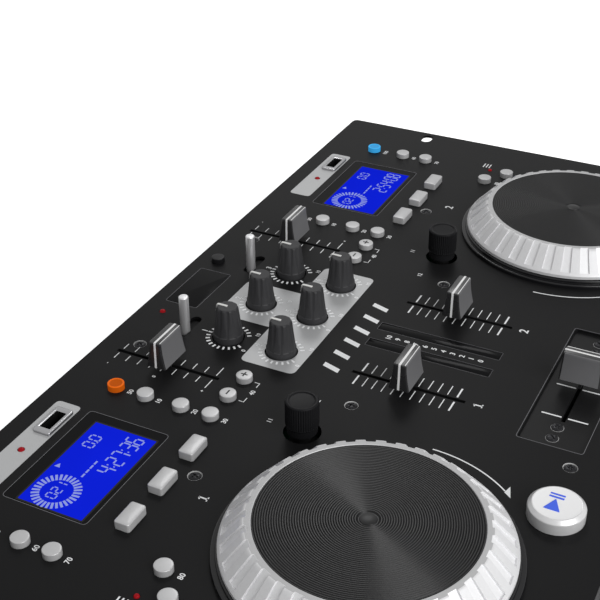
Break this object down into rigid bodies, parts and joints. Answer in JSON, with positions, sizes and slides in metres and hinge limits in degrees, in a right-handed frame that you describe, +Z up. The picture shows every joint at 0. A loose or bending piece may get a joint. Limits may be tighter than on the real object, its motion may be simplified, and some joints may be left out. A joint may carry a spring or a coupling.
{
  "type": "twin-deck dj console",
  "caption": "Rack-mount DJ console: two jog-wheel disc decks with displays and tray drawers, and a mixer with knobs and faders between them.",
  "frame": {"origin": "bottom centre of the overall box, on the surface the feet stand on", "axes": "+X to the user's right, +Y to the back, +Z up"},
  "size_m": [0.4826, 0.271, 0.1139],
  "materials": {
    "panel_black": "satin",
    "casing_black": "satin",
    "plate_black": "satin",
    "dark_window": "gloss",
    "lcd_blue": "gloss",
    "lamp_red": "gloss",
    "port_chrome": "polished",
    "screw_black": "satin",
    "base_black": "satin",
    "mechanism_grey": "satin",
    "board_green": "matt",
    "drive_grey": "matt",
    "supply_brown": "matt",
    "socket_black": "matt",
    "foot_rubber": "matt",
    "knob_black": "satin",
    "fader_black": "satin",
    "encoder_black": "gloss",
    "shaft_steel": "satin",
    "lever_chrome": "polished",
    "ring_silver": "satin",
    "disc_black": "satin",
    "key_silver": "satin",
    "key_orange": "satin",
    "key_blue": "satin",
    "key_black": "satin",
    "tray_black": "satin",
    "rocker_black": "satin"
  },
  "bodies": {
    "chassis": {"top_panel": "panel_black", "base_pan": "casing_black", "side_walls": "casing_black", "end_walls": "casing_black", "crossfader_plate": "plate_black", "window_lenses": "dark_window", "lcd_panels": "lcd_blue", "indicator_lamps": "lamp_red", "usb_ports": "port_chrome", "screws": "screw_black", "jog_bases": "base_black", "control_mechanisms": "mechanism_grey", "circuit_boards": "board_green", "disc_drives": "drive_grey", "power_supply": "supply_brown", "sockets": "socket_black", "feet": "foot_rubber"},
    "jog_wheel_left": {"jog_disc_left": "disc_black", "jog_ring_left": "ring_silver"},
    "encoder_shaft_left": {"encoder_shaft_left": "shaft_steel"},
    "encoder_knob_left": {"encoder_knob_left": "encoder_black"},
    "jog_wheel_right": {"jog_disc_right": "disc_black", "jog_ring_right": "ring_silver"},
    "encoder_shaft_right": {"encoder_shaft_right": "shaft_steel"},
    "encoder_knob_right": {"encoder_knob_right": "encoder_black"},
    "knob_back_left": {"knob_back_left": "knob_black"},
    "knob_back_centre": {"knob_back_centre": "knob_black"},
    "knob_back_right": {"knob_back_right": "knob_black"},
    "knob_front_left": {"knob_front_left": "knob_black"},
    "knob_front_centre": {"knob_front_centre": "knob_black"},
    "knob_front_right": {"knob_front_right": "knob_black"},
    "pitch_fader_left": {"pitch_fader_left": "fader_black"},
    "channel_fader_left": {"channel_fader_left": "fader_black"},
    "selector_lever_left": {"selector_lever_left": "lever_chrome"},
    "tray_left": {"tray_left": "tray_black"},
    "disc_spindle_left": {"disc_spindle_left": "shaft_steel"},
    "play_key_left": {"play_key_left": "key_silver"},
    "cue_key_left": {"cue_key_left": "key_silver"},
    "pitch_key_left": {"pitch_key_left": "key_orange"},
    "eject_key_left": {"eject_key_left": "key_blue"},
    "loop_keys_left": {"loop_keys_left": "key_silver"},
    "mode_keys_left": {"mode_keys_left": "key_silver"},
    "bend_keys_left": {"bend_keys_left": "key_silver"},
    "side_keys_left": {"side_keys_left": "key_silver"},
    "pitch_fader_right": {"pitch_fader_right": "fader_black"},
    "channel_fader_right": {"channel_fader_right": "fader_black"},
    "selector_lever_right": {"selector_lever_right": "lever_chrome"},
    "tray_right": {"tray_right": "tray_black"},
    "disc_spindle_right": {"disc_spindle_right": "shaft_steel"},
    "play_key_right": {"play_key_right": "key_silver"},
    "cue_key_right": {"cue_key_right": "key_silver"},
    "pitch_key_right": {"pitch_key_right": "key_orange"},
    "eject_key_right": {"eject_key_right": "key_blue"},
    "loop_keys_right": {"loop_keys_right": "key_silver"},
    "mode_keys_right": {"mode_keys_right": "key_silver"},
    "bend_keys_right": {"bend_keys_right": "key_silver"},
    "side_keys_right": {"side_keys_right": "key_silver"},
    "crossfader": {"crossfader": "fader_black"},
    "link_key": {"link_key": "key_black"},
    "power_rocker": {"power_rocker": "rocker_black"}
  },
  "joints": [
    {"name": "jog_wheel_left_spin", "type": "hinge", "parent": "chassis", "child": "jog_wheel_left", "pos_m": [-0.1445, -0.04875, 0.103], "axis": [0, 0, 1], "continuous": true},
    {"name": "encoder_left_push", "type": "slide", "parent": "chassis", "child": "encoder_shaft_left", "axis": [0, 0, -1], "range_m": [0, 0.0006], "stiffness_N_per_m": 1500, "springref_m": -0.0006},
    {"name": "encoder_left_turn", "type": "hinge", "parent": "encoder_shaft_left", "child": "encoder_knob_left", "pos_m": [-0.0874, 0.00815, 0.1], "axis": [0, 0, 1], "continuous": true},
    {"name": "jog_wheel_right_spin", "type": "hinge", "parent": "chassis", "child": "jog_wheel_right", "pos_m": [0.1445, -0.04875, 0.103], "axis": [0, 0, 1], "continuous": true},
    {"name": "encoder_right_push", "type": "slide", "parent": "chassis", "child": "encoder_shaft_right", "axis": [0, 0, -1], "range_m": [0, 0.0006], "stiffness_N_per_m": 1500, "springref_m": -0.0006},
    {"name": "encoder_right_turn", "type": "hinge", "parent": "encoder_shaft_right", "child": "encoder_knob_right", "pos_m": [0.0874, 0.00815, 0.1], "axis": [0, 0, 1], "continuous": true},
    {"name": "knob_back_left_turn", "type": "hinge", "parent": "chassis", "child": "knob_back_left", "pos_m": [-0.0348, 0.07545, 0.1], "axis": [0, 0, 1], "range_deg": [-150, 150]},
    {"name": "knob_back_centre_turn", "type": "hinge", "parent": "chassis", "child": "knob_back_centre", "pos_m": [0, 0.07545, 0.1], "axis": [0, 0, 1], "range_deg": [-150, 150]},
    {"name": "knob_back_right_turn", "type": "hinge", "parent": "chassis", "child": "knob_back_right", "pos_m": [0.0348, 0.07545, 0.1], "axis": [0, 0, 1], "range_deg": [-150, 150]},
    {"name": "knob_front_left_turn", "type": "hinge", "parent": "chassis", "child": "knob_front_left", "pos_m": [-0.0348, 0.0457, 0.1], "axis": [0, 0, 1], "range_deg": [-150, 150]},
    {"name": "knob_front_centre_turn", "type": "hinge", "parent": "chassis", "child": "knob_front_centre", "pos_m": [0, 0.0457, 0.1], "axis": [0, 0, 1], "range_deg": [-150, 150]},
    {"name": "knob_front_right_turn", "type": "hinge", "parent": "chassis", "child": "knob_front_right", "pos_m": [0.0348, 0.0457, 0.1], "axis": [0, 0, 1], "range_deg": [-150, 150]},
    {"name": "pitch_fader_left_slide", "type": "slide", "parent": "chassis", "child": "pitch_fader_left", "axis": [0, 1, 0], "range_m": [-0.0264, 0.0264]},
    {"name": "channel_fader_left_slide", "type": "slide", "parent": "chassis", "child": "channel_fader_left", "axis": [0, 1, 0], "range_m": [-0.025, 0.0232]},
    {"name": "selector_lever_left_slide", "type": "slide", "parent": "chassis", "child": "selector_lever_left", "axis": [1, 0, 0], "range_m": [0, 0.0076]},
    {"name": "tray_left_slide", "type": "slide", "parent": "chassis", "child": "tray_left", "axis": [0, -1, 0], "range_m": [0, 0.13]},
    {"name": "disc_spindle_left_spin", "type": "hinge", "parent": "chassis", "child": "disc_spindle_left", "pos_m": [-0.1445, -0.06545, 0.03], "axis": [0, 0, 1], "continuous": true},
    {"name": "play_key_left_press", "type": "slide", "parent": "chassis", "child": "play_key_left", "axis": [0, 0, -1], "range_m": [0, 0.0008], "stiffness_N_per_m": 600, "springref_m": -0.0008},
    {"name": "cue_key_left_press", "type": "slide", "parent": "chassis", "child": "cue_key_left", "axis": [0, 0, -1], "range_m": [0, 0.0008], "stiffness_N_per_m": 600, "springref_m": -0.0008},
    {"name": "pitch_key_left_press", "type": "slide", "parent": "chassis", "child": "pitch_key_left", "axis": [0, 0, -1], "range_m": [0, 0.0008], "stiffness_N_per_m": 600, "springref_m": -0.0008},
    {"name": "eject_key_left_press", "type": "slide", "parent": "chassis", "child": "eject_key_left", "axis": [0, 0, -1], "range_m": [0, 0.0008], "stiffness_N_per_m": 600, "springref_m": -0.0008},
    {"name": "loop_keys_left_press", "type": "slide", "parent": "chassis", "child": "loop_keys_left", "axis": [0, 0, -1], "range_m": [0, 0.0008], "stiffness_N_per_m": 600, "springref_m": -0.0008},
    {"name": "mode_keys_left_press", "type": "slide", "parent": "chassis", "child": "mode_keys_left", "axis": [0, 0, -1], "range_m": [0, 0.0008], "stiffness_N_per_m": 600, "springref_m": -0.0008},
    {"name": "bend_keys_left_press", "type": "slide", "parent": "chassis", "child": "bend_keys_left", "axis": [0, 0, -1], "range_m": [0, 0.0008], "stiffness_N_per_m": 600, "springref_m": -0.0008},
    {"name": "side_keys_left_press", "type": "slide", "parent": "chassis", "child": "side_keys_left", "axis": [0, 0, -1], "range_m": [0, 0.0008], "stiffness_N_per_m": 600, "springref_m": -0.0008},
    {"name": "pitch_fader_right_slide", "type": "slide", "parent": "chassis", "child": "pitch_fader_right", "axis": [0, 1, 0], "range_m": [-0.0264, 0.0264]},
    {"name": "channel_fader_right_slide", "type": "slide", "parent": "chassis", "child": "channel_fader_right", "axis": [0, 1, 0], "range_m": [-0.025, 0.0232]},
    {"name": "selector_lever_right_slide", "type": "slide", "parent": "chassis", "child": "selector_lever_right", "axis": [1, 0, 0], "range_m": [0, 0.0076]},
    {"name": "tray_right_slide", "type": "slide", "parent": "chassis", "child": "tray_right", "axis": [0, -1, 0], "range_m": [0, 0.13]},
    {"name": "disc_spindle_right_spin", "type": "hinge", "parent": "chassis", "child": "disc_spindle_right", "pos_m": [0.1445, -0.06545, 0.03], "axis": [0, 0, 1], "continuous": true},
    {"name": "play_key_right_press", "type": "slide", "parent": "chassis", "child": "play_key_right", "axis": [0, 0, -1], "range_m": [0, 0.0008], "stiffness_N_per_m": 600, "springref_m": -0.0008},
    {"name": "cue_key_right_press", "type": "slide", "parent": "chassis", "child": "cue_key_right", "axis": [0, 0, -1], "range_m": [0, 0.0008], "stiffness_N_per_m": 600, "springref_m": -0.0008},
    {"name": "pitch_key_right_press", "type": "slide", "parent": "chassis", "child": "pitch_key_right", "axis": [0, 0, -1], "range_m": [0, 0.0008], "stiffness_N_per_m": 600, "springref_m": -0.0008},
    {"name": "eject_key_right_press", "type": "slide", "parent": "chassis", "child": "eject_key_right", "axis": [0, 0, -1], "range_m": [0, 0.0008], "stiffness_N_per_m": 600, "springref_m": -0.0008},
    {"name": "loop_keys_right_press", "type": "slide", "parent": "chassis", "child": "loop_keys_right", "axis": [0, 0, -1], "range_m": [0, 0.0008], "stiffness_N_per_m": 600, "springref_m": -0.0008},
    {"name": "mode_keys_right_press", "type": "slide", "parent": "chassis", "child": "mode_keys_right", "axis": [0, 0, -1], "range_m": [0, 0.0008], "stiffness_N_per_m": 600, "springref_m": -0.0008},
    {"name": "bend_keys_right_press", "type": "slide", "parent": "chassis", "child": "bend_keys_right", "axis": [0, 0, -1], "range_m": [0, 0.0008], "stiffness_N_per_m": 600, "springref_m": -0.0008},
    {"name": "side_keys_right_press", "type": "slide", "parent": "chassis", "child": "side_keys_right", "axis": [0, 0, -1], "range_m": [0, 0.0008], "stiffness_N_per_m": 600, "springref_m": -0.0008},
    {"name": "crossfader_slide", "type": "slide", "parent": "chassis", "child": "crossfader", "axis": [1, 0, 0], "range_m": [-0.0261, 0.0225]},
    {"name": "link_key_press", "type": "slide", "parent": "chassis", "child": "link_key", "axis": [0, 0, -1], "range_m": [0, 0.0008], "stiffness_N_per_m": 600, "springref_m": -0.0008},
    {"name": "power_rocker_tilt", "type": "hinge", "parent": "chassis", "child": "power_rocker", "pos_m": [-0.15, 0.12495, 0.032], "axis": [1, 0, 0], "range_deg": [0, 20]}
  ]
}
